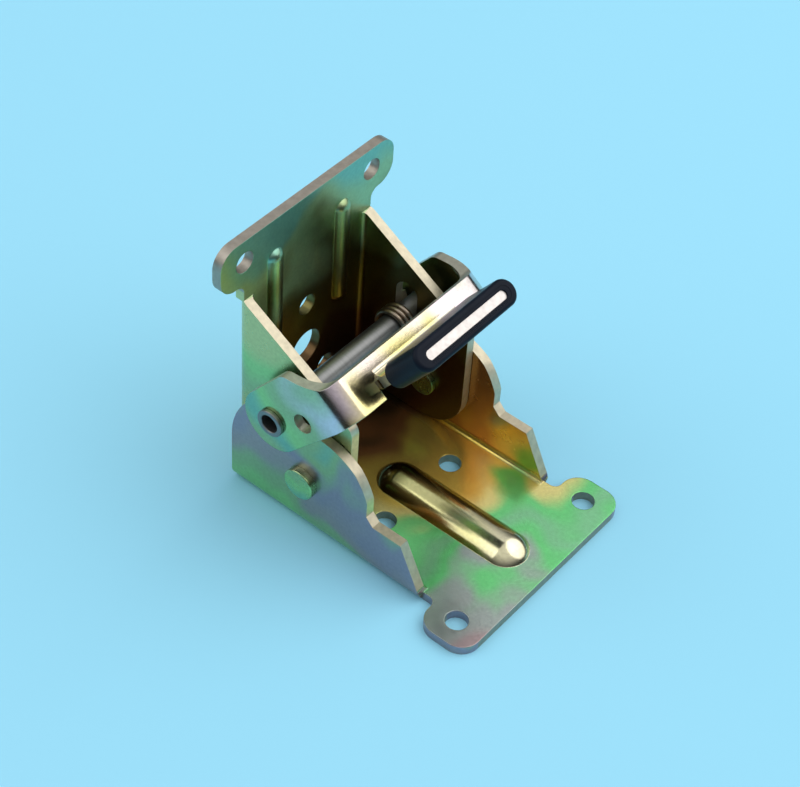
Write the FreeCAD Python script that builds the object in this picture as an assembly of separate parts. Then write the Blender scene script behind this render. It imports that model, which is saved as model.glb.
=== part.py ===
import FreeCAD, Part
import math
import os

# Folding table leg bracket in pressed steel, standing open and locked at a right angle.
# X runs from the hinge towards the two ears of the base, Y across the bracket, Z up from the table top.
# The origin is on the underside of the base, below the hinge rivets. Lengths are in millimetres.

# Sheet and bends
SHEET = 2.0
BEND_INSIDE = 1.0
LEVER_SHEET = 2.0
LEVER_BEND_INSIDE = 4.0
SCREW_HOLE = 4.5

# Running fits
CHEEK_GAP = 0.15
LEVER_GAP = 0.5
PIN_FIT = 0.06
SLOT_FIT = 0.1
RIVET_FIT = 0.05
NOTCH_GAP = 0.15
SLEEVE_FIT = 0.05
FLOOR_GAP = 1.1

# Base
BASE_WIDTH = 40.0
BASE_FRONT = 43.4
BASE_NECK_HALF = 18.6
HINGE_HEIGHT = 12.5
RIM_BACK_RADIUS = 18.0
RIM_FRONT_RADIUS = 16.2
RIM_FRONT_END_ANGLE = 18.0
RELIEF_REACH = 15.4
RELIEF_HEIGHT = 14.0
LEDGE_START = 17.0
LEDGE_HEIGHT = 12.3
LEDGE_END = 23.6
SLANT_END = 28.7
EAR_HALF = 24.8
EAR_START = 31.7
EAR_CORNER = 4.0
EAR_INNER_CORNER = 1.6
EAR_HOLE_INSET = 6.0
EAR_HOLE_HALF = 19.6
INNER_HOLE_X = 12.2
INNER_HOLE_HALF = 9.9
BEAD_START = 3.2
BEAD_END = 38.2
BEAD_WIDTH = 9.4
BEAD_RISE = 2.7

# Leg bracket
LEG_FACE = 19.1
LEG_TOP = 60.3
LEG_LOBE_RADIUS = 9.4
LEG_SLANT_FRONT = 30.5
LEG_NECK_LENGTH = 13.1
LEG_CORNER = 3.0
LEG_NECK_HALF = 17.6
LEG_EAR_HALF = 23.7
LEG_EAR_DEPTH = 10.3
LEG_EAR_CORNER = 4.0
LEG_EAR_INNER_CORNER = 2.0
LEG_EAR_HOLE_DROP = 5.0
LEG_EAR_HOLE_HALF = 17.4
CENTRE_HOLE_HEIGHT = 32.8
DRIVER_HOLE = 8.0
DRIVER_HOLE_HEIGHT = 21.5
LOW_HOLE_HEIGHT = 12.9
LOW_HOLE_HALF = 5.9
RIB_HALF = 9.3
RIB_START = 28.0
RIB_END = 53.0
RIB_WIDTH = 4.2
RIB_RISE = 1.2

# Lock pin, its path and the spring on it
PIN_DIAMETER = 5.0
PIN_BORE = 3.8
PIN_FLANGE = 5.8
PIN_FLANGE_THICKNESS = 0.8
PIN_REACH = 15.0
PIN_ANGLE = 112.5
PIN_LIFT = 5.6
PIN_LIFT_ANGLE = 90.0
FOLD_ANGLE = 90.0
COIL_WIRE = 1.1
COIL_TURNS = 3.0
COIL_FIT = 0.2
COIL_CHEEK_GAP = 0.6
COIL_BACK_LEG = 4.5
COIL_LEVER_LEG = 8.0

# Lever, its tongue and the grip on the tongue
ARM_ANGLE = 54.0
ARM_END_RADIUS = 6.6
ARM_LENGTH = 20.0
ARM_UPPER = 6.2
ARM_UPPER_LENGTH = 12.0
ARM_CORNER = 2.5
WEB_UPPER = -0.2
WEB_LOWER = 8.3
ARM_HOLE = 4.1
ARM_HOLE_ALONG = 8.1
ARM_HOLE_BELOW = 3.2
TONGUE_BELOW = 5.5
TONGUE_WIDTH = 23.2
TONGUE_LENGTH = 15.3
TONGUE_SLIT = 1.0
GRIP_LENGTH = 27.4
GRIP_THICKNESS = 5.4
GRIP_DEPTH = 10.4
GRIP_EDGE = 0.9
GRIP_TIP = 0.4
GRIP_MOUTH_DEPTH = 1.4
GRIP_MOUTH_MARGIN = 0.5

# Hinge rivets
RIVET_SHANK = 4.2
RIVET_HEAD = 6.8
RIVET_HEAD_THICKNESS = 1.6
RIVET_TAIL = 5.8
RIVET_TAIL_THICKNESS = 1.0

# Values that follow from the sizes above
BASE_HALF = BASE_WIDTH / 2
BEND_OUTSIDE = BEND_INSIDE + SHEET
LEG_HALF = BASE_HALF - SHEET - CHEEK_GAP
LEG_INSIDE = LEG_HALF - SHEET
LEG_BACK_INSIDE = LEG_FACE - SHEET
LEG_BOTTOM = SHEET + FLOOR_GAP
LEG_SLANT_BACK = LEG_TOP - LEG_NECK_LENGTH
EAR_OVERHANG = EAR_HALF - BASE_NECK_HALF
EAR_OUTER_RADIUS = min(EAR_CORNER, EAR_OVERHANG * 0.65)
EAR_INNER_RADIUS = min(EAR_INNER_CORNER, EAR_OVERHANG * 0.3)
LEG_EAR_OVERHANG = LEG_EAR_HALF - LEG_NECK_HALF
LEG_EAR_OUTER_RADIUS = min(LEG_EAR_CORNER, LEG_EAR_OVERHANG * 0.66)
LEG_EAR_INNER_RADIUS = min(LEG_EAR_INNER_CORNER, LEG_EAR_OVERHANG * 0.33)
LEVER_INSIDE = BASE_HALF + LEVER_GAP
LEVER_HALF = LEVER_INSIDE + LEVER_SHEET
PIN_RADIUS = PIN_DIAMETER / 2
PIN_HALF = LEVER_HALF + PIN_FIT + PIN_FLANGE_THICKNESS
FAR = 200.0

ACROSS = FreeCAD.Vector(0, 1, 0)
HINGE = FreeCAD.Vector(0, 0, HINGE_HEIGHT)


def point(x, z, y=0.0):
    return FreeCAD.Vector(x, y, z)


def polar(centre, radius, degrees):
    turn = math.radians(degrees)
    return centre + FreeCAD.Vector(radius * math.cos(turn), 0, radius * math.sin(turn))


PIN_CENTRE = polar(HINGE, PIN_REACH, PIN_ANGLE)
PIN_LIFT_WAY = polar(FreeCAD.Vector(), PIN_LIFT, PIN_LIFT_ANGLE)


def same(a, b):
    return abs(a - b) < 1e-6


def line(start, end):
    return Part.LineSegment(start, end).toShape()


def arc(start, through, end):
    return Part.Arc(start, through, end).toShape()


def plate_across(edges, half_width):
    """A closed outline in the side view, as a solid that reaches half_width to each side."""
    face = Part.Face(Part.Wire(edges))
    face.translate(ACROSS * -half_width)
    return face.extrude(ACROSS * (2 * half_width))


def outline(points):
    return [line(a, b) for a, b in zip(points, points[1:] + points[:1])]


def rod_across(centre, radius, start, end):
    return Part.makeCylinder(radius, end - start, centre + ACROSS * start, ACROSS)


def block(x, y, z):
    """A box given by its lowest and highest value on each axis."""
    low = FreeCAD.Vector(x[0], y[0], z[0])
    return Part.makeBox(x[1] - x[0], y[1] - y[0], z[1] - z[0], low)


def round_edges(solid, radius, choose):
    return solid.makeFillet(radius, [edge for edge in solid.Edges if choose(edge.CenterOfMass)])


def capsule(start, end, radius):
    """A round bar with ball ends between two points."""
    run = end - start
    bar = Part.makeCylinder(radius, run.Length, start, run)
    return bar.fuse([Part.makeSphere(radius, start), Part.makeSphere(radius, end)])


def ridge_radius(width, rise):
    return (width * width / 4 + rise * rise) / (2 * rise)


def pin_at(fold):
    """The pin's centre, seen from the base, at a fold angle: it lifts in its slots as the leg folds."""
    from_hinge = PIN_CENTRE + PIN_LIFT_WAY * (fold / FOLD_ANGLE) - HINGE
    turned = FreeCAD.Rotation(ACROSS, fold).multVec(from_hinge)
    return HINGE + turned


def pin_contact(fold):
    """Where the lifting pin, with its gap, touches the rim of the base at a fold angle."""
    small_turn = 0.01
    travel = pin_at(fold + small_turn) - pin_at(fold - small_turn)
    inward = FreeCAD.Vector(-travel.z, 0, travel.x)
    if inward.dot(HINGE - pin_at(fold)) < 0:
        inward = inward * -1
    return pin_at(fold) + inward * ((PIN_RADIUS + NOTCH_GAP) / inward.Length)


def ramp_fold():
    """The fold angle at which the pin has climbed onto the front rim."""
    low, high = 0.0, FOLD_ANGLE
    while high - low > 1e-6:
        middle = (low + high) / 2
        if (pin_contact(middle) - HINGE).Length < RIM_FRONT_RADIUS:
            low = middle
        else:
            high = middle
    return low


def base_side_outline():
    """The base from the side: round rim, pin notch with its ramp, front arc, ledge and slant."""
    side = polar(FreeCAD.Vector(), 1.0, PIN_ANGLE + 90)
    room = PIN_RADIUS + NOTCH_GAP
    outward = polar(FreeCAD.Vector(), 1.0, PIN_ANGLE)
    wall_top = HINGE + outward * math.sqrt(RIM_BACK_RADIUS ** 2 - room ** 2) + side * room
    wall_foot = PIN_CENTRE + side * room
    notch_foot = pin_contact(0)
    notch_turn = polar(PIN_CENTRE, room, PIN_ANGLE + 145)
    climb = ramp_fold()
    ramp_top = pin_contact(climb)
    ramp_angle = math.degrees(math.atan2(ramp_top.z - HINGE_HEIGHT, ramp_top.x))
    rim_start = polar(HINGE, RIM_BACK_RADIUS, 180)
    rim_end = polar(HINGE, RIM_FRONT_RADIUS, RIM_FRONT_END_ANGLE)
    floor_corner = point(BASE_FRONT, 0)
    points = [point(RELIEF_REACH, RELIEF_HEIGHT), point(LEDGE_START, LEDGE_HEIGHT), point(LEDGE_END, LEDGE_HEIGHT),
              point(SLANT_END, SHEET), point(BASE_FRONT, SHEET), floor_corner, point(-RIM_BACK_RADIUS, 0), rim_start]
    edges = [arc(rim_start, polar(HINGE, RIM_BACK_RADIUS, 155), wall_top)]
    edges.append(line(wall_top, wall_foot))
    edges.append(arc(wall_foot, notch_turn, notch_foot))
    edges.append(arc(notch_foot, pin_contact(climb / 2), ramp_top))
    edges.append(arc(ramp_top, polar(HINGE, RIM_FRONT_RADIUS, (ramp_angle + RIM_FRONT_END_ANGLE) / 2), rim_end))
    edges.extend(line(a, b) for a, b in zip([rim_end] + points, points))
    return edges


def base_bracket():
    """One pressed channel: floor, two cheeks, two front ears and a raised bead along the floor."""
    top = HINGE_HEIGHT + RIM_BACK_RADIUS + SHEET
    outer = block((-RIM_BACK_RADIUS, BASE_FRONT), (-BASE_HALF, BASE_HALF), (0, top))
    outer = round_edges(outer, BEND_OUTSIDE, lambda c: same(abs(c.y), BASE_HALF) and same(c.z, 0))
    inner_half = BASE_HALF - SHEET
    inner = block((-RIM_BACK_RADIUS, BASE_FRONT), (-inner_half, inner_half), (SHEET, top + SHEET))
    inner = round_edges(inner, BEND_INSIDE, lambda c: same(abs(c.y), inner_half) and same(c.z, SHEET))
    channel = outer.cut(inner).common(plate_across(base_side_outline(), FAR))
    channel = channel.cut(block((SLANT_END, FAR), (-FAR, FAR), (-FAR, FAR)))
    front = block((SLANT_END, BASE_FRONT), (-BASE_NECK_HALF, BASE_NECK_HALF), (0, SHEET))
    ears = block((EAR_START, BASE_FRONT), (-EAR_HALF, EAR_HALF), (0, SHEET))
    ears = round_edges(ears, EAR_OUTER_RADIUS, lambda c: same(abs(c.y), EAR_HALF) and same(c.z, SHEET / 2))
    base = channel.fuse([front, ears]).removeSplitter()
    base = round_edges(base, EAR_INNER_RADIUS,
                       lambda c: same(c.x, EAR_START) and same(abs(c.y), BASE_NECK_HALF) and same(c.z, SHEET / 2))
    radius = ridge_radius(BEAD_WIDTH, BEAD_RISE)
    axis_height = SHEET + BEAD_RISE - radius
    start = point(BEAD_START + BEAD_WIDTH / 2, axis_height)
    end = point(BEAD_END - BEAD_WIDTH / 2, axis_height)
    bead = capsule(start, end, radius).common(block((-FAR, FAR), (-FAR, FAR), (SHEET / 2, FAR)))
    base = base.fuse(bead).cut(capsule(start, end, radius - SHEET)).removeSplitter()
    holes = [(BASE_FRONT - EAR_HOLE_INSET, EAR_HOLE_HALF), (INNER_HOLE_X, INNER_HOLE_HALF)]
    for x, half in holes:
        for y in (-half, half):
            base = base.cut(Part.makeCylinder(SCREW_HOLE / 2, 3 * SHEET, point(x, -SHEET, y)))
    return base.cut(rod_across(HINGE, RIVET_SHANK / 2, -BASE_HALF, BASE_HALF))


def pin_slot(radius):
    """The straight slot through both leg cheeks along which the lock pin lifts."""
    end = PIN_CENTRE + PIN_LIFT_WAY
    side = polar(FreeCAD.Vector(), radius, PIN_LIFT_ANGLE - 90)
    walls = plate_across(outline([PIN_CENTRE + side, end + side, end - side, PIN_CENTRE - side]), LEG_HALF)
    ends = [rod_across(centre, radius, -LEG_HALF, LEG_HALF) for centre in (PIN_CENTRE, end)]
    return walls.fuse(ends)


def leg_bracket():
    """One pressed channel that turns inside the base: back plate, two cheeks, two top ears and two ribs."""
    outer = block((-LEG_FACE, LEG_LOBE_RADIUS), (-LEG_HALF, LEG_HALF), (LEG_BOTTOM, LEG_SLANT_BACK))
    outer = round_edges(outer, BEND_OUTSIDE, lambda c: same(abs(c.y), LEG_HALF) and same(c.x, -LEG_FACE))
    inner = block((-LEG_BACK_INSIDE, FAR), (-LEG_INSIDE, LEG_INSIDE), (0, LEG_TOP))
    inner = round_edges(inner, BEND_INSIDE, lambda c: same(abs(c.y), LEG_INSIDE) and same(c.x, -LEG_BACK_INSIDE))
    lobe_foot = polar(HINGE, LEG_LOBE_RADIUS, 270)
    lobe_front = polar(HINGE, LEG_LOBE_RADIUS, 0)
    front_top = point(LEG_LOBE_RADIUS, LEG_SLANT_FRONT)
    back_top = point(-LEG_FACE, LEG_SLANT_BACK)
    side = [arc(lobe_foot, polar(HINGE, LEG_LOBE_RADIUS, 315), lobe_front), line(lobe_front, front_top)]
    side.append(line(front_top, back_top))
    side.append(line(back_top, point(-LEG_FACE, HINGE_HEIGHT - LEG_LOBE_RADIUS)))
    side.append(line(point(-LEG_FACE, HINGE_HEIGHT - LEG_LOBE_RADIUS), lobe_foot))
    side_plate = plate_across(side, FAR)
    side_plate = round_edges(side_plate, LEG_CORNER, lambda c: (c - front_top).Length < 1e-6)
    leg = outer.cut(inner).common(side_plate)
    plate_x = (-LEG_FACE, -LEG_BACK_INSIDE)
    neck = block(plate_x, (-LEG_NECK_HALF, LEG_NECK_HALF), (LEG_SLANT_BACK - BEND_OUTSIDE / 2, LEG_TOP))
    ears = block(plate_x, (-LEG_EAR_HALF, LEG_EAR_HALF), (LEG_TOP - LEG_EAR_DEPTH, LEG_TOP))
    plate_middle = sum(plate_x) / 2
    ears = round_edges(ears, LEG_EAR_OUTER_RADIUS, lambda c: same(abs(c.y), LEG_EAR_HALF) and same(c.x, plate_middle))
    top = neck.fuse(ears).removeSplitter()
    top = round_edges(top, LEG_EAR_INNER_RADIUS,
                      lambda c: same(abs(c.y), LEG_NECK_HALF) and same(c.z, LEG_TOP - LEG_EAR_DEPTH))
    rib_radius = ridge_radius(RIB_WIDTH, RIB_RISE)
    rib_x = RIB_RISE - LEG_BACK_INSIDE - rib_radius
    leg = leg.fuse(top).removeSplitter()
    for y in (-RIB_HALF, RIB_HALF):
        low = point(rib_x, RIB_START + RIB_WIDTH / 2, y)
        high = point(rib_x, RIB_END - RIB_WIDTH / 2, y)
        rib = capsule(low, high, rib_radius).common(block((-LEG_FACE + SHEET / 2, 0), (-FAR, FAR), (0, FAR)))
        sunk = FreeCAD.Vector(-SHEET, 0, 0)
        leg = leg.fuse(rib).cut(capsule(low + sunk, high + sunk, rib_radius)).removeSplitter()
    ear_hole_height = LEG_TOP - LEG_EAR_HOLE_DROP
    holes = [(0, CENTRE_HOLE_HEIGHT, SCREW_HOLE), (0, DRIVER_HOLE_HEIGHT, DRIVER_HOLE)]
    for sign in (-1, 1):
        holes.append((sign * LOW_HOLE_HALF, LOW_HOLE_HEIGHT, SCREW_HOLE))
        holes.append((sign * LEG_EAR_HOLE_HALF, ear_hole_height, SCREW_HOLE))
    for y, z, diameter in holes:
        drill = Part.makeCylinder(diameter / 2, 3 * SHEET, point(-LEG_FACE - SHEET, z, y), FreeCAD.Vector(1, 0, 0))
        leg = leg.cut(drill)
    leg = leg.cut(rod_across(HINGE, RIVET_SHANK / 2 + RIVET_FIT, -LEG_HALF, LEG_HALF))
    return leg.cut(pin_slot(PIN_RADIUS + SLOT_FIT))


def hinge_rivet(side):
    """A short rivet through one base cheek and one leg cheek, with a flat head outside. Side is -1 or 1."""
    sections = [(RIVET_HEAD, BASE_HALF, BASE_HALF + RIVET_HEAD_THICKNESS)]
    sections.append((RIVET_SHANK, LEG_INSIDE - RIVET_FIT, BASE_HALF))
    sections.append((RIVET_TAIL, LEG_INSIDE - RIVET_FIT - RIVET_TAIL_THICKNESS, LEG_INSIDE - RIVET_FIT))
    pieces = [rod_across(HINGE, diameter / 2, start, end) for diameter, start, end in sections]
    rivet = pieces[0].fuse(pieces[1:]).removeSplitter()
    head_face = BASE_HALF + RIVET_HEAD_THICKNESS
    rivet = round_edges(rivet, RIVET_HEAD_THICKNESS / 5, lambda c: abs(c.y - head_face) < 1e-6)
    if side < 0:
        rivet = rivet.mirror(FreeCAD.Vector(), ACROSS)
    return rivet


def lock_pin():
    """A steel tube through lever, base and leg, flared over at both ends."""
    tube = rod_across(PIN_CENTRE, PIN_RADIUS, -PIN_HALF, PIN_HALF)
    flange_start = PIN_HALF - PIN_FLANGE_THICKNESS
    flanges = [rod_across(PIN_CENTRE, PIN_FLANGE / 2, flange_start, PIN_HALF)]
    flanges.append(rod_across(PIN_CENTRE, PIN_FLANGE / 2, -PIN_HALF, -flange_start))
    pin = tube.fuse(flanges).cut(rod_across(PIN_CENTRE, PIN_BORE / 2, -PIN_HALF, PIN_HALF)).removeSplitter()
    soft = PIN_FLANGE_THICKNESS / 3
    return round_edges(pin, soft, lambda c: abs(abs(c.y) - PIN_HALF) < 1e-6)


def torsion_spring():
    """A wire coil on the pin beside one leg cheek, one leg to the back plate and one to the lever."""
    radius = PIN_RADIUS + COIL_FIT + COIL_WIRE / 2
    pitch = COIL_WIRE * 1.08
    helix = Part.makeHelix(pitch, pitch * COIL_TURNS, radius)
    section = Part.makeCircle(COIL_WIRE / 2, FreeCAD.Vector(radius, 0, 0), ACROSS)
    coil = Part.Wire(helix.Edges).makePipeShell([Part.Wire([section])], True, True)
    coil.rotate(FreeCAD.Vector(), FreeCAD.Vector(1, 0, 0), -90)
    coil.rotate(FreeCAD.Vector(), ACROSS, 90)
    last_turn = LEG_INSIDE - COIL_CHEEK_GAP - COIL_WIRE / 2
    first_turn = last_turn - pitch * COIL_TURNS
    coil.translate(PIN_CENTRE + ACROSS * first_turn)
    back_start = PIN_CENTRE + ACROSS * first_turn + point(0, -radius)
    lever_start = PIN_CENTRE + ACROSS * last_turn + point(0, -radius)
    back_leg = Part.makeCylinder(COIL_WIRE / 2, COIL_BACK_LEG, back_start, FreeCAD.Vector(-1, 0, 0))
    lever_leg = Part.makeCylinder(COIL_WIRE / 2, COIL_LEVER_LEG, lever_start, FreeCAD.Vector(1, 0, 0))
    return coil.fuse([back_leg, lever_leg]).removeSplitter()


def on_arm(along, above, y=0.0):
    """A point of the lever: along the arm from the pin, and above the arm's centre line."""
    forward = polar(FreeCAD.Vector(), 1.0, ARM_ANGLE)
    upward = polar(FreeCAD.Vector(), 1.0, ARM_ANGLE + 90)
    return PIN_CENTRE + forward * along + upward * above + ACROSS * y


def arm_prism(points, half_width):
    return plate_across(outline([on_arm(along, above) for along, above in points]), half_width)


def lock_lever():
    """A pressed yoke: two arms outside the base cheeks, a web across them and a tongue for the grip."""
    bend = LEVER_BEND_INSIDE + LEVER_SHEET
    arm_low = -ARM_END_RADIUS - bend
    block_points = [(arm_low, -FAR / 4), (ARM_LENGTH, -FAR / 4), (ARM_LENGTH, FAR / 4), (arm_low, FAR / 4)]
    inner_end = ARM_LENGTH - LEVER_SHEET
    inner_points = [(-FAR / 4, -FAR / 2), (inner_end, -FAR / 2), (inner_end, FAR / 2), (-FAR / 4, FAR / 2)]
    outer = arm_prism(block_points, LEVER_HALF)
    outer = outer.makeFillet(bend, bend_edges(outer, ARM_LENGTH, LEVER_HALF))
    inner = arm_prism(inner_points, LEVER_INSIDE)
    inner = inner.makeFillet(LEVER_BEND_INSIDE, bend_edges(inner, inner_end, LEVER_INSIDE))
    arm = arm_prism([(0, -ARM_END_RADIUS), (ARM_LENGTH, -WEB_LOWER), (ARM_LENGTH, WEB_UPPER),
                     (ARM_LENGTH - LEVER_SHEET + WEB_UPPER, WEB_UPPER), (ARM_UPPER_LENGTH, ARM_UPPER),
                     (0, ARM_END_RADIUS)], FAR)
    upper_corner = on_arm(ARM_UPPER_LENGTH, ARM_UPPER)
    arm = round_edges(arm, ARM_CORNER, lambda c: (c - upper_corner).Length < 1e-6)
    scoop = on_arm(ARM_LENGTH - LEVER_SHEET + WEB_UPPER, WEB_UPPER)
    arm = round_edges(arm, ARM_CORNER, lambda c: (c - scoop).Length < 1e-6)
    arm = arm.fuse(rod_across(PIN_CENTRE, ARM_END_RADIUS, -FAR, FAR))
    yoke = outer.cut(inner).common(arm)
    tongue_half = TONGUE_WIDTH / 2
    tongue_low = -TONGUE_BELOW - LEVER_SHEET / 2
    tongue_high = tongue_low + LEVER_SHEET
    tip = ARM_LENGTH + TONGUE_LENGTH
    tongue = arm_prism([(ARM_LENGTH - LEVER_SHEET, tongue_low), (tip, tongue_low), (tip, tongue_high),
                        (ARM_LENGTH - LEVER_SHEET, tongue_high)], tongue_half)
    gap = arm_prism([(0, -FAR), (FAR, -FAR), (FAR, tongue_low), (0, tongue_low)], tongue_half)
    yoke = yoke.cut(gap).fuse(tongue).removeSplitter()
    root = on_arm(ARM_LENGTH, tongue_high)
    outer_root = on_arm(ARM_LENGTH - LEVER_SHEET, tongue_low)
    yoke = round_edges(yoke, LEVER_BEND_INSIDE / 2, lambda c: (c - root).Length < 1e-6)
    yoke = round_edges(yoke, LEVER_SHEET * 0.8, lambda c: (c - outer_root).Length < 1e-6)
    for side in (-1, 1):
        slit_y = (tongue_half, tongue_half + TONGUE_SLIT) if side > 0 else (-tongue_half - TONGUE_SLIT, -tongue_half)
        slit = arm_prism([(inner_end - 1, -FAR), (FAR, -FAR), (FAR, tongue_high), (inner_end - 1, tongue_high)],
                         TONGUE_SLIT / 2)
        slit.translate(ACROSS * (sum(slit_y) / 2))
        yoke = yoke.cut(slit)
    hole = on_arm(ARM_HOLE_ALONG, -ARM_HOLE_BELOW)
    yoke = yoke.cut(rod_across(hole, ARM_HOLE / 2, -LEVER_HALF, LEVER_HALF))
    return yoke.cut(rod_across(PIN_CENTRE, PIN_RADIUS + PIN_FIT, -LEVER_HALF, LEVER_HALF))


def bend_edges(prism, along, half_width):
    """The two edges of a prism on the arm where the web turns into the arms."""
    corners = [on_arm(along, 0, y) for y in (-half_width, half_width)]
    return [edge for edge in prism.Edges if min((edge.CenterOfMass - c).Length for c in corners) < 1e-3]


def stadium(along, length, height, depth):
    """A flat round-ended bar across the lever, centred on the tongue, running outwards from along."""
    radius = height / 2
    half = length / 2 - radius
    forward = polar(FreeCAD.Vector(), depth, ARM_ANGLE)
    middle = arm_prism([(along, -TONGUE_BELOW - radius), (along + depth, -TONGUE_BELOW - radius),
                        (along + depth, -TONGUE_BELOW + radius), (along, -TONGUE_BELOW + radius)], half)
    ends = [Part.makeCylinder(radius, depth, on_arm(along, -TONGUE_BELOW, y), forward) for y in (-half, half)]
    return middle.fuse(ends).removeSplitter()


def grip_sleeve():
    """A black plastic sleeve pushed over the tongue, open at the tip so that the metal shows."""
    tip = ARM_LENGTH + TONGUE_LENGTH + GRIP_TIP
    start = tip - GRIP_DEPTH
    sleeve = stadium(start, GRIP_LENGTH, GRIP_THICKNESS, GRIP_DEPTH)
    plane_tip = polar(FreeCAD.Vector(), 1.0, ARM_ANGLE)
    along_tip = (on_arm(tip, 0)).dot(plane_tip)
    sleeve = round_edges(sleeve, GRIP_EDGE, lambda c: abs(c.dot(plane_tip) - along_tip) < 1e-3)
    bore_half = LEVER_SHEET / 2 + SLEEVE_FIT
    bore = arm_prism([(start - 1, -TONGUE_BELOW - bore_half), (tip, -TONGUE_BELOW - bore_half),
                      (tip, -TONGUE_BELOW + bore_half), (start - 1, -TONGUE_BELOW + bore_half)],
                     TONGUE_WIDTH / 2 + SLEEVE_FIT)
    mouth_height = LEVER_SHEET + 2 * GRIP_MOUTH_MARGIN
    mouth = stadium(tip - GRIP_MOUTH_DEPTH, TONGUE_WIDTH + 2 * GRIP_MOUTH_MARGIN, mouth_height, GRIP_DEPTH)
    return sleeve.cut(bore).cut(mouth).removeSplitter()


parts = {"base_bracket": base_bracket(), "left_hinge_rivet": hinge_rivet(-1), "right_hinge_rivet": hinge_rivet(1)}
parts["leg_bracket"] = leg_bracket()
parts["lock_pin"] = lock_pin()
parts["torsion_spring"] = torsion_spring()
parts["lock_lever"] = lock_lever()
parts["grip_sleeve"] = grip_sleeve()

os.makedirs("parts", exist_ok=True)
for name, shape in parts.items():
    shape.exportStep("parts/" + name + ".step")
    print(name, len(shape.Solids), "solid", round(shape.Volume, 1), "mm3", shape.isValid())
print("pin", PIN_CENTRE, "lift", PIN_LIFT_WAY, "ramp ends at fold", round(ramp_fold(), 1))
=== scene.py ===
import bpy
import bmesh
import math
from mathutils import Matrix, Vector


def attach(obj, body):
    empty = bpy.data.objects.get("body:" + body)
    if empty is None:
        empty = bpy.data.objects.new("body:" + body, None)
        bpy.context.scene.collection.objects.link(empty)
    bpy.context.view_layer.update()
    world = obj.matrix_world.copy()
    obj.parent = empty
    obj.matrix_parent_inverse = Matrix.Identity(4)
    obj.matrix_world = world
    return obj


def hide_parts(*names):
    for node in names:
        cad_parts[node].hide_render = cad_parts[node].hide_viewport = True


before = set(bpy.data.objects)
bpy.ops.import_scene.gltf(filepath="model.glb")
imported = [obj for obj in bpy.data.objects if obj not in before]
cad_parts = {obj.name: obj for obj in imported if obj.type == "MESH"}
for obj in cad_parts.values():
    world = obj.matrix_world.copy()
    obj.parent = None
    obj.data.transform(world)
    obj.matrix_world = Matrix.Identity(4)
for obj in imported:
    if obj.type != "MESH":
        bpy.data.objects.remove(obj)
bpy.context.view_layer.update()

# Camera: a long lens that looks down over the near cheek and the two base ears.
# The image is 800 by 787, and the small shift sets the bracket a little above its centre.
image_width = 800
image_height = 787
focal_pixels = 2184.4
axis_pixel = (389.15, 379.08)
camera_place = Vector((0.17496, -0.22801, 0.31724))
camera_azimuth = math.radians(36.96)
camera_elevation = math.radians(45.50)
camera_roll = math.radians(3.97)

backward = Vector((math.sin(camera_azimuth) * math.cos(camera_elevation),
                   -math.cos(camera_azimuth) * math.cos(camera_elevation),
                   math.sin(camera_elevation)))
level_right = Vector((math.cos(camera_azimuth), math.sin(camera_azimuth), 0))
level_up = backward.cross(level_right)
view_right = math.cos(camera_roll) * level_right + math.sin(camera_roll) * level_up
view_up = math.cos(camera_roll) * level_up - math.sin(camera_roll) * level_right

lens = bpy.data.cameras.new("photo_camera")
lens.sensor_width = 36
lens.lens = focal_pixels / image_width * lens.sensor_width
lens.shift_x = (image_width / 2 - axis_pixel[0]) / image_width
lens.shift_y = (axis_pixel[1] - image_height / 2) / image_width
lens.clip_start = 0.01
camera = bpy.data.objects.new("photo_camera", lens)
camera_axes = Matrix((view_right, view_up, backward)).transposed().to_4x4()
camera.matrix_world = Matrix.Translation(camera_place) @ camera_axes
bpy.context.collection.objects.link(camera)
bpy.context.scene.camera = camera
bpy.context.scene.view_settings.view_transform = "Standard"


# Ground: a sheet of pale blue card that runs far past the view on every side.
# It is matt, and takes the soft shadow of the bracket.
ground_half = 30.0
ground_blue = (0.335, 0.735, 0.935, 1)


def new_material(name):
    material = bpy.data.materials.new(name)
    material.use_nodes = True
    nodes = material.node_tree.nodes
    return material, nodes, material.node_tree.links, nodes["Principled BSDF"]


ground_mesh = bpy.data.meshes.new("ground")
shape = bmesh.new()
bmesh.ops.create_grid(shape, x_segments=1, y_segments=1, size=ground_half)
shape.to_mesh(ground_mesh)
shape.free()
ground = bpy.data.objects.new("ground", ground_mesh)
bpy.context.collection.objects.link(ground)
card, nodes, links, surface = new_material("pale_blue_card")
surface.inputs["Base Color"].default_value = ground_blue
surface.inputs["Roughness"].default_value = 0.9
surface.inputs["Specular IOR Level"].default_value = 0.1
ground_mesh.materials.append(card)


# Base bracket: one blanked and bent channel of 2 mm steel, zinc plated and yellow passivated.
# The plating shows green, teal, gold and purple by its thickness, and the sheared edges are pale.
# It screws to the table through the two front ears and the two holes beside the bead.
merge_distance = 2e-6
corner_angle = math.radians(32)
edge_softness = 0.00025
base_half = 0.020
base_sheet = 0.002
bend_height = 0.0034
bend_start = 0.0171
bead_half = 0.0047
bead_clearance = 0.0001
sheet_depth = 1.01 * base_sheet


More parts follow.
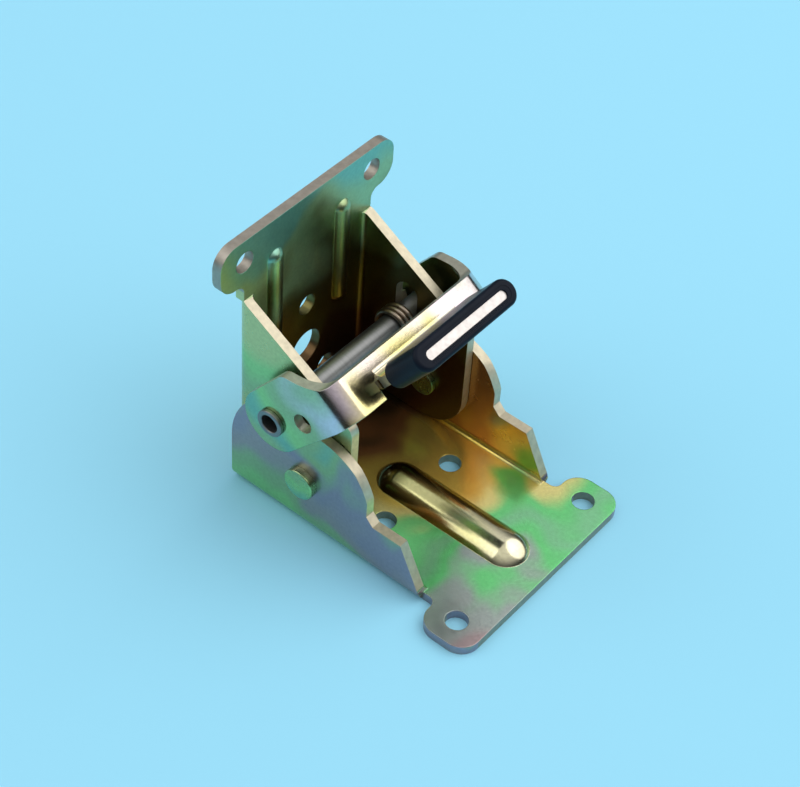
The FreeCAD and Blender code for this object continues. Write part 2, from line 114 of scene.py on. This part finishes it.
def finished_copy(node, body, materials, finish_of=None):
    """The CAD node with its facets joined and its corners crisp; finish_of picks each face's material."""
    mesh = bpy.data.meshes.new(node + "_finished")
    shape = bmesh.new()
    shape.from_mesh(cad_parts[node].data)
    bmesh.ops.remove_doubles(shape, verts=shape.verts, dist=merge_distance)
    for edge in shape.edges:
        edge.smooth = edge.is_manifold and edge.calc_face_angle(0) < corner_angle
    for face in shape.faces:
        face.smooth = True
        if finish_of:
            finish = finish_of(face.calc_center_median(), face.normal)
            face.material_index = materials.index(finish)
    shape.to_mesh(mesh)
    shape.free()
    piece = bpy.data.objects.new(node + "_finished", mesh)
    bpy.context.collection.objects.link(piece)
    for material in materials:
        mesh.materials.append(material)
    weighted = piece.modifiers.new("even_shading", "WEIGHTED_NORMAL")
    weighted.keep_sharp = True
    weighted.weight = 100
    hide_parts(node)
    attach(piece, body)


def passivated_zinc(name, colours, drift, low, high, patch_scale, roughness, metal=1.0):
    """Yellow passivated zinc: colour bands run along one direction, from low to high, in soft patches. Some
    band lists also carry painted shade or a painted highlight.
    """
    patchiness = 0.9
    material, nodes, links, surface = new_material(name)
    place = nodes.new("ShaderNodeTexCoord")
    slope = nodes.new("ShaderNodeVectorMath")
    slope.operation = "DOT_PRODUCT"
    slope.inputs[1].default_value = drift
    along = nodes.new("ShaderNodeMapRange")
    along.inputs["From Min"].default_value = low
    along.inputs["From Max"].default_value = high
    along.inputs["To Min"].default_value = -patchiness / 2
    along.inputs["To Max"].default_value = 1 - patchiness / 2
    patches = nodes.new("ShaderNodeTexNoise")
    patches.inputs["Scale"].default_value = patch_scale
    patches.inputs["Detail"].default_value = 1.5
    patches.inputs["Distortion"].default_value = 0.4
    sum_up = nodes.new("ShaderNodeMath")
    sum_up.operation = "MULTIPLY_ADD"
    sum_up.inputs[1].default_value = patchiness
    bands = nodes.new("ShaderNodeValToRGB")
    bands.color_ramp.interpolation = "EASE"
    stops = bands.color_ramp.elements
    for number, colour in enumerate(colours):
        position = number / (len(colours) - 1)
        stop = stops[number] if number < 2 else stops.new(position)
        stop.position = position
        stop.color = colour + (1,)
    speckle = nodes.new("ShaderNodeTexNoise")
    speckle.inputs["Scale"].default_value = 1500
    speckle.inputs["Detail"].default_value = 2
    fleck = nodes.new("ShaderNodeMapRange")
    fleck.inputs["To Min"].default_value = 0.84
    fleck.inputs["To Max"].default_value = 1.16
    shade = nodes.new("ShaderNodeVectorMath")
    shade.operation = "SCALE"
    blotch = nodes.new("ShaderNodeTexNoise")
    blotch.inputs["Scale"].default_value = 420
    blotch.inputs["Detail"].default_value = 5
    gloss = nodes.new("ShaderNodeMapRange")
    gloss.inputs["To Min"].default_value = roughness - 0.06
    gloss.inputs["To Max"].default_value = roughness + 0.08
    soft_edge = nodes.new("ShaderNodeBevel")
    soft_edge.inputs["Radius"].default_value = edge_softness
    grain = nodes.new("ShaderNodeTexNoise")
    grain.inputs["Scale"].default_value = 1800
    bump = nodes.new("ShaderNodeBump")
    bump.inputs["Strength"].default_value = 0.03
    bump.inputs["Distance"].default_value = 0.0002
    links.new(place.outputs["Object"], slope.inputs[0])
    links.new(place.outputs["Object"], patches.inputs["Vector"])
    links.new(place.outputs["Object"], blotch.inputs["Vector"])
    links.new(place.outputs["Object"], grain.inputs["Vector"])
    links.new(slope.outputs["Value"], along.inputs["Value"])
    links.new(patches.outputs["Fac"], sum_up.inputs[0])
    links.new(along.outputs["Result"], sum_up.inputs[2])
    links.new(sum_up.outputs["Value"], bands.inputs["Fac"])
    links.new(place.outputs["Object"], speckle.inputs["Vector"])
    links.new(speckle.outputs["Fac"], fleck.inputs["Value"])
    links.new(bands.outputs["Color"], shade.inputs[0])
    links.new(fleck.outputs["Result"], shade.inputs["Scale"])
    links.new(shade.outputs["Vector"], surface.inputs["Base Color"])
    links.new(blotch.outputs["Fac"], gloss.inputs["Value"])
    links.new(gloss.outputs["Result"], surface.inputs["Roughness"])
    links.new(soft_edge.outputs["Normal"], bump.inputs["Normal"])
    links.new(grain.outputs["Fac"], bump.inputs["Height"])
    links.new(bump.outputs["Normal"], surface.inputs["Normal"])
    surface.inputs["Metallic"].default_value = metal
    return material


def sheared_steel(name, colour):
    """A pale sheared edge with fine tear marks."""
    material, nodes, links, surface = new_material(name)
    place = nodes.new("ShaderNodeTexCoord")
    tears = nodes.new("ShaderNodeTexNoise")
    tears.inputs["Scale"].default_value = 900
    tears.inputs["Detail"].default_value = 4
    tone = nodes.new("ShaderNodeMix")
    tone.data_type = "RGBA"
    tone.inputs["A"].default_value = tuple(0.55 * part for part in colour) + (1,)
    tone.inputs["B"].default_value = colour + (1,)
    links.new(place.outputs["Object"], tears.inputs["Vector"])
    links.new(tears.outputs["Fac"], tone.inputs["Factor"])
    links.new(tone.outputs["Result"], surface.inputs["Base Color"])
    surface.inputs["Metallic"].default_value = 0.8
    surface.inputs["Roughness"].default_value = 0.42
    return material


gold = (0.66, 0.44, 0.09)
bright_gold = (0.88, 0.64, 0.13)
lemon = (0.80, 0.70, 0.27)
mauve = (0.43, 0.33, 0.33)
violet = (0.38, 0.30, 0.36)
lilac_grey = (0.38, 0.43, 0.40)
floor_green = (0.18, 0.67, 0.24)
pale_green = (0.24, 0.60, 0.31)
leaf_green = (0.37, 0.62, 0.25)
grey_green = (0.37, 0.48, 0.25)
teal = (0.24, 0.46, 0.35)
straw = (0.62, 0.58, 0.27)
red_brown = (0.42, 0.19, 0.07)
painted_highlight_straw = (0.78, 0.72, 0.50)
# The two darkest colours are painted shade. They darken the floor and cheeks by the hinge, the inside of the
# leg, the inner faces of the lever arms and the back end of the bead.
painted_shade_olive = (0.15, 0.13, 0.045)
painted_shade_brown = (0.11, 0.065, 0.03)
pale_edge = sheared_steel("pale_sheared_edge", (0.74, 0.66, 0.48))
grey_edge = sheared_steel("grey_sheared_edge", (0.42, 0.41, 0.32))
cheek_zinc = passivated_zinc("base_cheek_zinc", [leaf_green, grey_green, mauve, violet, grey_green, teal],
                             drift=(0.35, 0.0, 0.94), low=-0.004, high=0.032, patch_scale=75, roughness=0.30)
# On the floor the golds, greens and lilac are plating colours. The dark brown at the hinge end is painted
# shade, where the leg and lever shade the floor.
floor_bands_with_painted_shade = [painted_shade_brown, red_brown, bright_gold, bright_gold, lemon,
               floor_green, pale_green, floor_green, lilac_grey, mauve]
floor_zinc_with_painted_shade = passivated_zinc("base_floor_zinc", floor_bands_with_painted_shade,
                             drift=(0.94, -0.35, 0.0), low=-0.014, high=0.052, patch_scale=50, roughness=0.22,
                             metal=0.8)
# Inside the base cheeks the red-brown and gold are plating colours. The dark brown at the end towards the
# hinge is painted shade.
inner_cheek_bands_with_painted_shade = [painted_shade_brown, red_brown, red_brown, gold, leaf_green]
inner_cheek_zinc_with_painted_shade = passivated_zinc("base_inner_cheek_zinc", inner_cheek_bands_with_painted_shade,
                                   drift=(0.95, 0.0, -0.30), low=-0.008, high=0.028,
                                   patch_scale=60, roughness=0.24, metal=0.85)
# On the bead the straw is plating colour. The dark olive at its back end is painted shade, and the pale straw
# at its front end is a painted highlight.
bead_zinc_with_painted_light = passivated_zinc("bead_zinc_with_painted_light", [painted_shade_olive, straw, straw, painted_highlight_straw],
                            drift=(1.0, 0.0, 0.0), low=0.0, high=0.040, patch_scale=70, roughness=0.17)


def base_finish(centre, normal):
    on_cheek = abs(centre.y) > base_half - sheet_depth and centre.z > bend_height
    if on_cheek and abs(normal.y) < 0.5:
        return pale_edge
    if abs(centre.y) > bend_start and normal.y * centre.y > 0:
        return cheek_zinc
    if abs(normal.z) < 0.3 and centre.z < base_sheet:
        return grey_edge
    if on_cheek:
        return inner_cheek_zinc_with_painted_shade
    on_bead = centre.z > base_sheet + bead_clearance and abs(centre.y) < bead_half
    return bead_zinc_with_painted_light if on_bead else floor_zinc_with_painted_shade


finished_copy("base_bracket", "base",
              [cheek_zinc, floor_zinc_with_painted_shade, pale_edge, grey_edge, bead_zinc_with_painted_light, inner_cheek_zinc_with_painted_shade], base_finish)


# Hinge rivets: two short steel rivets with flat heads, plated like the sheets.
# Each is pressed through a base cheek and headed over inside a leg cheek, which turns on it.
rivet_zinc = passivated_zinc("rivet_zinc", [teal, leaf_green, grey_green],
                             drift=(0.0, 0.0, 1.0), low=0.009, high=0.016, patch_scale=160, roughness=0.26)
for node in ("left_hinge_rivet", "right_hinge_rivet"):
    finished_copy(node, "base", [rivet_zinc])


# Leg bracket: a second channel of 2 mm steel that turns between the base cheeks.
# Its back plate is stiffened by two ribs and screws to the leg through its ears and lower holes.
leg_half = 0.01785
leg_back_inside = 0.0171
plate_clearance = 0.0002
ear_level = 0.0475
leg_zinc = passivated_zinc("leg_outside_zinc", [gold, grey_green, leaf_green, straw, mauve],
                           drift=(0.0, 0.0, 1.0), low=0.012, high=0.056, patch_scale=52, roughness=0.28)
leg_rim_edge = sheared_steel("leg_rim_edge", (0.50, 0.45, 0.38))
# Inside of the leg channel: painted shade, dark brown and olive low down and towards the open front. Only
# near the ears do the plating's green and teal show.
leg_inside_painted_shade_bands = [painted_shade_brown, painted_shade_brown, painted_shade_brown, painted_shade_olive, painted_shade_olive, grey_green, teal]
inside_painted_shade_zinc = passivated_zinc("inside_painted_shade_zinc", leg_inside_painted_shade_bands,
                                  drift=(-0.30, 0.0, 0.95), low=0.0, high=0.062,
                                  patch_scale=52, roughness=0.31)


def leg_finish(centre, normal):
    on_plate = centre.x < -leg_back_inside + plate_clearance
    if on_plate and abs(normal.x) < 0.3 and (centre.z > ear_level or centre.z < bend_height):
        return leg_rim_edge
    on_cheek = abs(centre.y) > leg_half - sheet_depth
    if not on_plate and on_cheek and abs(normal.y) < 0.5:
        return pale_edge
    # Faces turned into the channel take the painted shade.
    facing_in = normal.x > 0.3 or normal.y * centre.y < 0
    return inside_painted_shade_zinc if facing_in else leg_zinc


finished_copy("leg_bracket", "leg",
              [leg_zinc, inside_painted_shade_zinc, pale_edge, leg_rim_edge], leg_finish)


# Lock pin: a plain drawn steel tube across the bracket, flared over outside the lever arms.
# It is grey, with fine lines around it, and shows its open bore at both ends.
pin_steel, nodes, links, surface = new_material("drawn_grey_steel")
place = nodes.new("ShaderNodeTexCoord")
stretch = nodes.new("ShaderNodeMapping")
stretch.inputs["Scale"].default_value = (60, 2400, 60)
lines = nodes.new("ShaderNodeTexNoise")
lines.inputs["Scale"].default_value = 1.0
lines.inputs["Detail"].default_value = 4
tone = nodes.new("ShaderNodeValToRGB")
tone.color_ramp.elements[0].color = (0.20, 0.20, 0.195, 1)
tone.color_ramp.elements[1].color = (0.30, 0.30, 0.29, 1)
links.new(place.outputs["Object"], stretch.inputs["Vector"])
links.new(stretch.outputs["Vector"], lines.inputs["Vector"])
links.new(lines.outputs["Fac"], tone.inputs["Fac"])
links.new(tone.outputs["Color"], surface.inputs["Base Color"])
surface.inputs["Metallic"].default_value = 1.0
surface.inputs["Roughness"].default_value = 0.43
finished_copy("lock_pin", "pin", [pin_steel])


# Torsion spring: three turns of hard drawn wire on the pin, beside the far leg cheek.
# One leg lies towards the back plate and the other towards the web of the lever.
spring_wire, nodes, links, surface = new_material("dark_spring_wire")
place = nodes.new("ShaderNodeTexCoord")
stain = nodes.new("ShaderNodeTexNoise")
stain.inputs["Scale"].default_value = 700
stain.inputs["Detail"].default_value = 3
tone = nodes.new("ShaderNodeValToRGB")
tone.color_ramp.elements[0].color = (0.22, 0.16, 0.11, 1)
tone.color_ramp.elements[1].color = (0.55, 0.46, 0.36, 1)
links.new(place.outputs["Object"], stain.inputs["Vector"])
links.new(stain.outputs["Fac"], tone.inputs["Fac"])
links.new(tone.outputs["Color"], surface.inputs["Base Color"])
surface.inputs["Metallic"].default_value = 1.0
surface.inputs["Roughness"].default_value = 0.32
finished_copy("torsion_spring", "pin", [spring_wire])


# Lock lever: a yoke pressed from the same sheet, its two arms outside the base cheeks on the pin.
# The web joins the arms in wide bends, and a tongue bent out of it carries the grip.
lever_half = 0.0225
arm_length = 0.020
web_clearance = 0.0002
pin_centre = Vector((-0.00574, 0, 0.02636))
arm_angle = math.radians(54.0)
arm_forward = Vector((math.cos(arm_angle), 0, math.sin(arm_angle)))
# The lever's greens and teal are plating colours. The pale lilac-white and lemon towards the web are partly
# plating tint and partly a painted reflection of the lamp.
painted_reflection_lilac_white = (0.72, 0.61, 0.66)
lever_zinc_with_painted_reflection = passivated_zinc("lever_zinc_with_painted_reflection", [grey_green, teal, leaf_green, grey_green, painted_reflection_lilac_white, lemon],
                             drift=tuple(arm_forward), low=0.011, high=0.041, patch_scale=60, roughness=0.15)
lever_edge = sheared_steel("lever_sheared_edge", (0.58, 0.57, 0.46))
# The end of the tongue is the same sheared steel as the other lever edges, painted much paler: a painted
# highlight.
painted_highlight_tongue_end = sheared_steel("tongue_end_steel", (0.92, 0.85, 0.80))


def lever_finish(centre, normal):
    facing_out = abs(normal.dot(arm_forward))
    if (centre - pin_centre).dot(arm_forward) > arm_length + web_clearance:
        if facing_out > 0.9:
            return painted_highlight_tongue_end
        return lever_edge if abs(normal.y) > 0.5 else lever_zinc_with_painted_reflection
    on_arm = abs(centre.y) > lever_half - sheet_depth
    # The inner faces of the arms take the painted shade of the leg's inside.
    if on_arm and normal.y * centre.y < 0 and abs(normal.y) > 0.5:
        return inside_painted_shade_zinc
    on_edge = abs(normal.y) < 0.05 and (on_arm or facing_out < 0.95)
    return lever_edge if on_edge else lever_zinc_with_painted_reflection


finished_copy("lock_lever", "lever",
              [lever_zinc_with_painted_reflection, lever_edge, inside_painted_shade_zinc, painted_highlight_tongue_end], lever_finish)


# Grip sleeve: soft black plastic pushed over the tongue, rounded all round.
# Its tip is open, so that the end of the tongue shows as a bar, which is painted bright as a highlight.
grip_black, nodes, links, surface = new_material("soft_black_plastic")
place = nodes.new("ShaderNodeTexCoord")
cloud = nodes.new("ShaderNodeTexNoise")
cloud.inputs["Scale"].default_value = 260
cloud.inputs["Detail"].default_value = 4
tone = nodes.new("ShaderNodeValToRGB")
tone.color_ramp.elements[0].color = (0.004, 0.006, 0.012, 1)
tone.color_ramp.elements[1].color = (0.010, 0.014, 0.024, 1)
pores = nodes.new("ShaderNodeTexNoise")
pores.inputs["Scale"].default_value = 3000
bump = nodes.new("ShaderNodeBump")
bump.inputs["Strength"].default_value = 0.12
bump.inputs["Distance"].default_value = 0.0002
links.new(place.outputs["Object"], cloud.inputs["Vector"])
links.new(place.outputs["Object"], pores.inputs["Vector"])
links.new(cloud.outputs["Fac"], tone.inputs["Fac"])
links.new(tone.outputs["Color"], surface.inputs["Base Color"])
links.new(pores.outputs["Fac"], bump.inputs["Height"])
links.new(bump.outputs["Normal"], surface.inputs["Normal"])
surface.inputs["Roughness"].default_value = 0.34
surface.inputs["Specular IOR Level"].default_value = 0.09
finished_copy("grip_sleeve", "lever", [grip_black])


# Grip lip: the thin inner rim of the sleeve's mouth, moulded with it in the same black plastic.
# It laps over the corners of the tongue, so that a round-ended bar of steel shows.
tongue_drop = 0.0055
grip_tip = 0.0357
lip_length = 0.0243
lip_height = 0.0031
lip_depth = 0.00030
lip_recess = 0.00007
slit_length = 0.0222
slit_height = 0.0019
slit_drop = 0.00012
slit_rounding = 0.00012
loop_segments = 40


def round_ended_loop(shape, length, height, drop):
    """A flat loop with straight sides and half-round ends."""
    loop = bmesh.ops.create_circle(shape, segments=loop_segments, radius=height / 2)["verts"]
    half_step = Matrix.Rotation(math.pi / loop_segments, 3, "Z")
    bmesh.ops.rotate(shape, verts=loop, cent=(0, 0, 0), matrix=half_step)
    for side in (-1, 1):
        end = [vert for vert in loop if vert.co.x * side > 0]
        bmesh.ops.translate(shape, verts=end, vec=(side * (length - height) / 2, -drop, 0))
    return [edge for edge in shape.edges if edge.verts[0] in loop]


lip_mesh = bpy.data.meshes.new("grip_lip")
shape = bmesh.new()
outer_rim = round_ended_loop(shape, lip_length, lip_height, 0)
inner_rim = round_ended_loop(shape, slit_length, slit_height, slit_drop)
ring = bmesh.ops.bridge_loops(shape, edges=outer_rim + inner_rim)["faces"]
raised = bmesh.ops.extrude_face_region(shape, geom=ring, use_keep_orig=True)["geom"]
front = [part for part in raised if isinstance(part, bmesh.types.BMVert)]
bmesh.ops.translate(shape, verts=front, vec=(0, 0, lip_depth))
bmesh.ops.recalc_face_normals(shape, faces=shape.faces)
front_rim = []
for edge in shape.edges:
    in_front = all(vert.co.z > lip_depth / 2 for vert in edge.verts)
    on_slit = all(abs(vert.co.x) < slit_length / 2 + merge_distance for vert in edge.verts)
    if in_front and on_slit and edge.calc_face_angle(0) > corner_angle:
        front_rim.append(edge)
bmesh.ops.bevel(shape, geom=front_rim, offset=slit_rounding, segments=3, profile=0.5,
                affect="EDGES", material=-1)
arm_upward = Vector((-math.sin(arm_angle), 0, math.cos(arm_angle)))
lip_place = pin_centre + arm_forward * (grip_tip - lip_recess - lip_depth) - arm_upward * tongue_drop
lip_axes = Matrix((Vector((0, 1, 0)), arm_upward, arm_forward)).transposed().to_4x4()
bmesh.ops.transform(shape, matrix=Matrix.Translation(lip_place) @ lip_axes, verts=shape.verts)
for edge in shape.edges:
    edge.smooth = edge.calc_face_angle(0) < corner_angle
for face in shape.faces:
    face.smooth = True
# A bevel leaves its points and faces in no fixed order, so they are numbered by place.
for number, vert in enumerate(sorted(shape.verts, key=lambda vert: tuple(vert.co))):
    vert.index = number
shape.verts.sort()
for parts in (shape.edges, shape.faces):
    placed = sorted(parts, key=lambda part: sorted(vert.index for vert in part.verts))
    for number, part in enumerate(placed):
        part.index = number
    parts.sort()
shape.to_mesh(lip_mesh)
shape.free()
lip_mesh.materials.append(grip_black)
grip_lip = bpy.data.objects.new("grip_lip", lip_mesh)
bpy.context.collection.objects.link(grip_lip)
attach(grip_lip, "lever")


# Light: a pale sky that is brightest overhead, one broad lamp behind on the right and a weak one in front.
# Together they light the ground at a plain level.
sky = bpy.data.worlds.new("studio")
sky.use_nodes = True
bpy.context.scene.world = sky
nodes = sky.node_tree.nodes
links = sky.node_tree.links
direction = nodes.new("ShaderNodeTexCoord")
parts = nodes.new("ShaderNodeSeparateXYZ")
tone = nodes.new("ShaderNodeValToRGB")
tone.color_ramp.elements[0].position = 0.25
tone.color_ramp.elements[0].color = (0.03, 0.035, 0.035, 1)
tone.color_ramp.elements[1].position = 0.85
tone.color_ramp.elements[1].color = (0.92, 0.94, 0.96, 1)
links.new(direction.outputs["Generated"], parts.inputs["Vector"])
links.new(parts.outputs["Z"], tone.inputs["Fac"])
links.new(tone.outputs["Color"], nodes["Background"].inputs["Color"])
nodes["Background"].inputs["Strength"].default_value = 0.86


def soft_lamp(name, place, target, size, power):
    light = bpy.data.lights.new(name, "AREA")
    light.shape = "DISK"
    light.size = size
    light.energy = power
    lamp = bpy.data.objects.new(name, light)
    lamp.matrix_world = (Vector(target) - Vector(place)).to_track_quat("-Z", "Y").to_matrix().to_4x4()
    lamp.location = place
    bpy.context.collection.objects.link(lamp)


bracket_middle = (0.01, 0.0, 0.02)
soft_lamp("key_behind_right", (0.45, 0.55, 0.75), bracket_middle, size=1.6, power=8.2)
soft_lamp("fill_front_left", (-0.55, -0.45, 0.55), bracket_middle, size=0.9, power=2.2)
